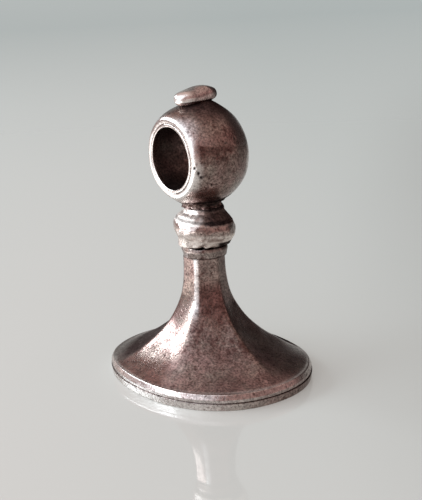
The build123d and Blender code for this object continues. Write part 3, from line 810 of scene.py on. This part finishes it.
def button_surface():
    """A pebble: a superellipse seen from the side, from the middle of the underside over the widest line
    to the middle of the top, carried round an oval that is narrower along X, then tilted about X and set
    on the ball. Wear, partly painted highlight at the lower end, and painted shade under the rim and at
    the far end follow the height and the distance along Y."""
    side, rise = superellipse(np.linspace(-BUTTON_SWING, BUTTON_SWING, 90), BUTTON_SIDE)
    over = np.where(rise > 0, BUTTON_THICKNESS - BUTTON_RIM_HEIGHT, BUTTON_RIM_HEIGHT)
    section = np.stack([side * MM, BUTTON_RIM_HEIGHT + over * rise], axis=-1)
    outline = worn_outline(section, TURNED_STEP / 3, BUTTON_WEAR)
    oval_x, oval_y = superellipse(around[::2], BUTTON_PLAN)
    reach, height = outline[:, :1] / MM, outline[:, 1:] + 0 * oval_x
    x, y = reach * oval_x * BUTTON_WIDTH / 2, reach * oval_y * BUTTON_LENGTH / 2
    points = np.stack([x, y, height], axis=-1)
    points = raised(points, BUTTON_UNEVEN * unevenness(points, BUTTON_SIZE, BUTTON_SEED))
    tilt = np.array(Matrix.Rotation(BUTTON_TILT, 3, "X"))
    points = points @ tilt.T + (0, BUTTON_SHIFT, ball_middle[2] + ball_radius - BUTTON_SINK)
    # The lower end is rubbed bright, partly as painted highlight, and painted shade darkens the undercut
    # and the far end.
    low_end = step_up(points[..., 1], -0.7 * MM, -1.5 * MM)
    shaded_far_end = step_up(points[..., 1], 1.2 * MM, 2.0 * MM)
    wear = 0.3 * step_up(height, 0.3 * MM, 0.8 * MM) * (1 - low_end) + low_end
    grime_and_shade = step_up(height, 0.3 * MM, 0.05 * MM) * (1 - low_end) + 0.9 * shaded_far_end
    return points, dict(grime_and_shade=grime_and_shade, wear=wear)


button = skin("finial_button_pebble", *button_surface())
dressed(button, "finial_button", old_silver("button_old_silver", toned=BUTTON_TONED))

# Core pin
# A plain drawn pin that lines the pieces up for soldering. Nothing of it shows.
PIN_MOTTLE, PIN_ROUGHNESS = 0.3 * MM, 0.5
pin_material, pin_tree, pin_shader, pin_where = new_material("pin_old_silver")
pin_tone = mixed(pin_tree, mottle(pin_tree, pin_where, PIN_MOTTLE, 3, 0.35, 0.65), TONED, GRIME_AND_SHADE)
pin_tree.links.new(pin_tone, pin_shader.inputs["Base Color"])
pin_shader.inputs["Metallic"].default_value = 1.0
pin_shader.inputs["Roughness"].default_value = PIN_ROUGHNESS
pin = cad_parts["core_pin"]
pin.data.materials.clear()
pin.data.materials.append(pin_material)

# Floor
# A pale table top with a clear gloss, which runs to the horizon. It is open under the die, where nothing
# shows from above. Its colour is painted darker and cooler towards the back and dimmer to the shaded
# side as painted shade, and it glows faintly in its own colour, a painted light that softens the seal's
# shadow.
FLOOR_OPEN, FLOOR_RINGS = 0.9, (0.05, 0.4, 3.0)
FLOOR_NEAR, FLOOR_FAR = tone(148, 146, 142), tone(108, 115, 114)
FADE_START, FADE_END, DIM_START, DIM_END = -0.03, 0.5, -0.02, 0.025
FLOOR_GLOW, FLOOR_ROUGHNESS, FLOOR_IOR = 0.85, 0.04, 1.5
LIT_SIDE, DIM_SIDE = (1.03, 1.03, 1.03, 1), (0.94, 0.98, 0.985, 1)
floor_angle = np.linspace(0, 2 * np.pi, 96, endpoint=False)
floor_oval = np.stack(superellipse(floor_angle, DIE_SQUARENESS), axis=-1)
floor_hole = FLOOR_OPEN * floor_oval * (die_half_x, die_half_y)
floor_circle = np.stack([np.cos(floor_angle), np.sin(floor_angle)], axis=-1)
floor_plan = np.stack([floor_hole, *(radius * floor_circle for radius in FLOOR_RINGS)])
floor_points = np.pad(floor_plan, ((0, 0), (0, 0), (0, 1)))
floor_index = np.arange(floor_plan[..., 0].size).reshape(floor_plan.shape[:2])
floor_inner, floor_outer = floor_index[:-1], floor_index[1:]
floor_next = np.roll(floor_outer, -1, axis=1), np.roll(floor_inner, -1, axis=1)
floor_quads = np.stack([floor_inner, floor_outer, *floor_next], axis=-1)
floor_mesh = bpy.data.meshes.new("floor")
floor_mesh.from_pydata(floor_points.reshape(-1, 3), [], floor_quads.reshape(-1, 4).tolist())
floor = bpy.data.objects.new("floor", floor_mesh)
bpy.context.scene.collection.objects.link(floor)


def reach_along(tree, where, direction):
    """How far a place lies in a direction: the dot product of the two."""
    dot = put(tree, "ShaderNodeVectorMath", {0: where, 1: direction}, operation="DOT_PRODUCT")
    return dot.outputs["Value"]


floor_material, floor_tree, floor_shader, floor_where = new_material("pale_table")
# Painted shade: the table darkens and cools towards the back and dims to the shaded side.
floor_fade = ramp(floor_tree, reach_along(floor_tree, floor_where, AWAY), FADE_START, FADE_END)
floor_dim = ramp(floor_tree, reach_along(floor_tree, floor_where, TO_THE_SIDE), DIM_START, DIM_END)
floor_colours = {
    0: mixed(floor_tree, floor_fade, FLOOR_NEAR, FLOOR_FAR),
    1: mixed(floor_tree, floor_dim, LIT_SIDE, DIM_SIDE),
}
floor_tone = put(floor_tree, "ShaderNodeVectorMath", floor_colours, operation="MULTIPLY").outputs[0]
floor_tree.links.new(floor_tone, floor_shader.inputs["Base Color"])
floor_tree.links.new(floor_tone, floor_shader.inputs["Emission Color"])
floor_shader.inputs["Emission Strength"].default_value = FLOOR_GLOW
floor_shader.inputs["Roughness"].default_value = FLOOR_ROUGHNESS
floor_shader.inputs["IOR"].default_value = FLOOR_IOR
floor_mesh.materials.append(floor_material)

# Light
# A broad soft window low on the left, a patch of glare from the table in front, a pale room round them,
# and a dim side to the right and behind.
WINDOW_FROM, WINDOW_DISTANCE, WINDOW_LEAN = Vector((-0.599, -0.665, 0.434)), 0.36, np.radians(-15)
WINDOW_WIDTH, WINDOW_HEIGHT, WINDOW_POWER, WINDOW_COLOUR = 0.45, 0.095, 1.9, (0.8, 0.93, 1.0)
GLARE_AT, GLARE_TURN = (-0.039, -0.099, 0.0006), np.radians(55)
GLARE_WIDTH, GLARE_LENGTH, GLARE_POWER = 0.15, 0.13, 0.085
WALL, UPPER_WALL, CEILING = (0.45, 0.3, 0.285, 1), (0.52, 0.35, 0.33, 1), (0.68, 0.52, 0.48, 1)
LIT_ROOM, BEHIND, DIM_ROOM = (1.9, 2.05, 2.25, 1), (0.38, 0.39, 0.385, 1), (0.08, 0.067, 0.066, 1)
TO_LIT_ROOM, TO_BEHIND = (-0.137, -0.776, 0.616), (-0.773, 0.626, 0.1)
TO_DIM_CORNER, TO_DIM_WALL, UP = (-0.23, 0.923, 0.309), (0, 0.996, 0.087), (0, 0, 1)
BACKDROP = tone(182, 186, 186)


def soft_light(name, width, length, power):
    """Rectangular light that the camera doesn't see."""
    data = bpy.data.lights.new(name, "AREA")
    data.shape = "RECTANGLE"
    data.size, data.size_y, data.energy = width, length, power
    light = bpy.data.objects.new(name, data)
    light.visible_camera = False
    bpy.context.scene.collection.objects.link(light)
    return light


window = soft_light("window", WINDOW_WIDTH, WINDOW_HEIGHT, WINDOW_POWER)
window.data.color = WINDOW_COLOUR
window.location = WINDOW_FROM.normalized() * WINDOW_DISTANCE
window_turn = WINDOW_FROM.to_track_quat("Z", "Y").to_matrix() @ Matrix.Rotation(WINDOW_LEAN, 3, "Z")
window.rotation_euler = window_turn.to_euler()
glare = soft_light("table_glare", GLARE_WIDTH, GLARE_LENGTH, GLARE_POWER)
glare.location = GLARE_AT
glare.rotation_euler = (np.pi, 0, GLARE_TURN)

world = bpy.data.worlds.new("room")
bpy.context.scene.world = world
world.use_nodes = True
sky = world.node_tree
sky_toward = put(sky, "ShaderNodeTexCoord").outputs["Generated"]


def toward(direction, low, high):
    """Smooth step from 0 to 1 as the cosine of the angle to a direction goes from low to high."""
    steps = {0: reach_along(sky, sky_toward, direction), 1: low, 2: high}
    return put(sky, "ShaderNodeMapRange", steps, interpolation_type="SMOOTHSTEP").outputs[0]


room = mixed(sky, toward(UP, 0.27, 0.33), WALL, UPPER_WALL)
room = mixed(sky, toward(UP, 0.55, 0.75), room, CEILING)
room = mixed(sky, toward(TO_LIT_ROOM, 0.62, 0.97), room, LIT_ROOM)
room = mixed(sky, toward(TO_BEHIND, 0.7, 0.93), room, BEHIND)
room = mixed(sky, times(sky, toward(TO_DIM_CORNER, 0.83, 0.915), toward(UP, 0.09, 0.21)), room, DIM_ROOM)
room = mixed(sky, toward(TO_DIM_WALL, 0.88, 0.95), room, DIM_ROOM)
seen = put(sky, "ShaderNodeLightPath").outputs["Is Camera Ray"]
sky.links.new(mixed(sky, seen, room, BACKDROP), sky.nodes["Background"].inputs["Color"])

# Camera
# It stands where the photograph was taken from, turned a little to the right of the picture's upright.
AZIMUTH, ELEVATION, ROLL = np.radians([54.85, 14.6, -3.2])
CAMERA_DISTANCE = 106.15 * MM
AIM, AIM_RIGHT, AIM_UP = Vector((0, 0, 14.475 * MM)), 0.83 * MM, -2.03 * MM
LONG_SIDE, FOCAL_PIXELS, SENSOR = 500, 1100, 36.0
CLIP_NEAR, CLIP_FAR = 0.005, 10
camera_data = bpy.data.cameras.new("camera")
camera_data.sensor_width = SENSOR
camera_data.lens = SENSOR * FOCAL_PIXELS / LONG_SIDE
camera_data.clip_start, camera_data.clip_end = CLIP_NEAR, CLIP_FAR
level = Vector((np.cos(AZIMUTH), np.sin(AZIMUTH), 0))
ground = Vector((np.sin(AZIMUTH), -np.cos(AZIMUTH), 0))
backward = ground * np.cos(ELEVATION) + Vector(UP) * np.sin(ELEVATION)
upright = backward.cross(level)
rolled_right = level * np.cos(ROLL) + upright * np.sin(ROLL)
rolled_up = upright * np.cos(ROLL) - level * np.sin(ROLL)
place = AIM + backward * CAMERA_DISTANCE
behind = (place - AIM - rolled_right * AIM_RIGHT - rolled_up * AIM_UP).normalized()
right = (rolled_right - behind * rolled_right.dot(behind)).normalized()
camera_turn = Matrix((right, behind.cross(right), behind)).transposed().to_4x4()
camera = bpy.data.objects.new("camera", camera_data)
camera.matrix_world = Matrix.Translation(place) @ camera_turn
bpy.context.scene.collection.objects.link(camera)
bpy.context.scene.camera = camera
bpy.context.scene.view_settings.view_transform = "Standard"
